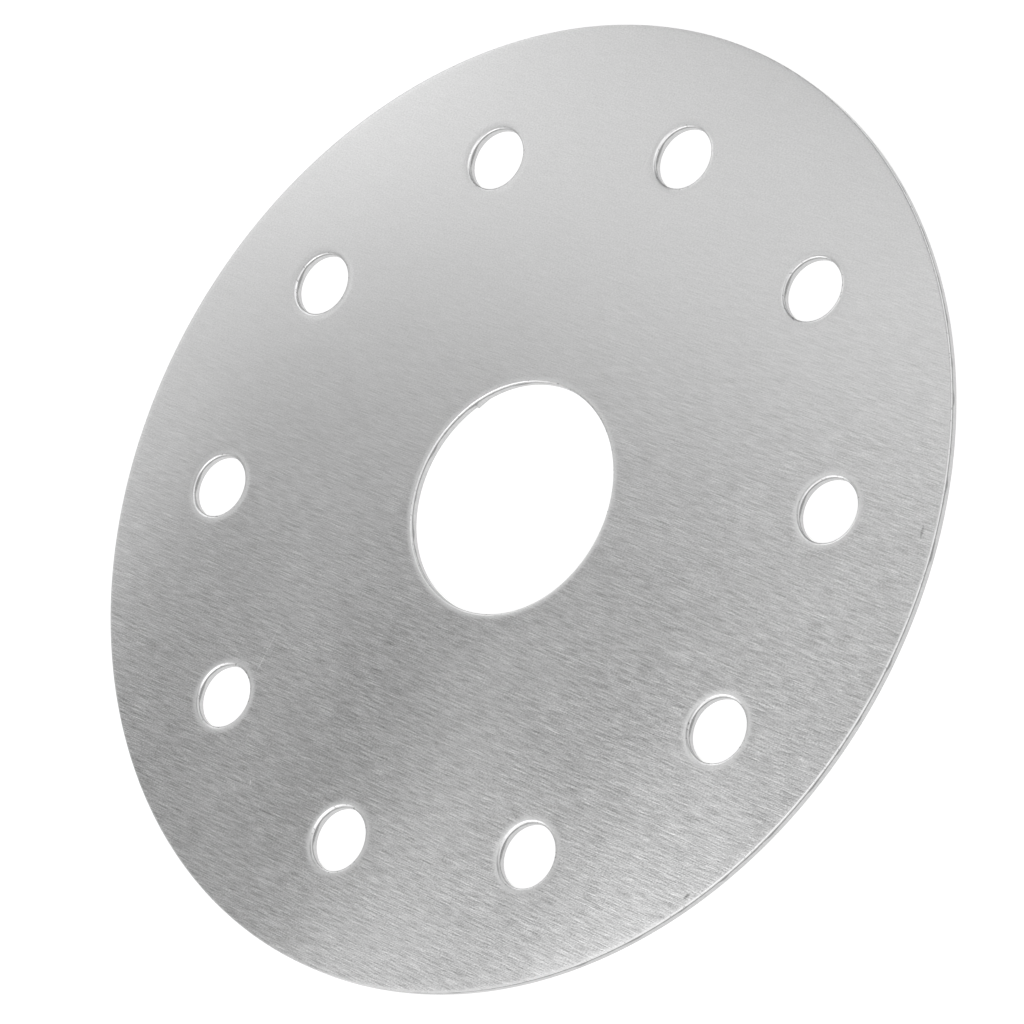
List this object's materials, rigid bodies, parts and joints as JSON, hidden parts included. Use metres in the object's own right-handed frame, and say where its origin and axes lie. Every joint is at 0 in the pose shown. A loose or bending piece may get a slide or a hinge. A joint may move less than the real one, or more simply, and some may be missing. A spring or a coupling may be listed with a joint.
{
  "type": "flange plate",
  "caption": "Flat round flange plate of brushed stainless-steel sheet, with a centre hole and a ring of evenly spaced through holes for bolts.",
  "frame": {"origin": "centre of the plate's back face, which is also the middle of its bottom when it lies flat", "axes": "+Z is the plate's axis and its front face's outward normal; +X runs from the centre through one bolt hole; the grain of the brushing runs along Y"},
  "size_m": [0.2, 0.2, 0.002],
  "materials": {
    "brushed_stainless": "brushed in one direction, satin"
  },
  "bodies": {
    "root": {"flange_plate": "brushed_stainless"}
  },
  "joints": []
}
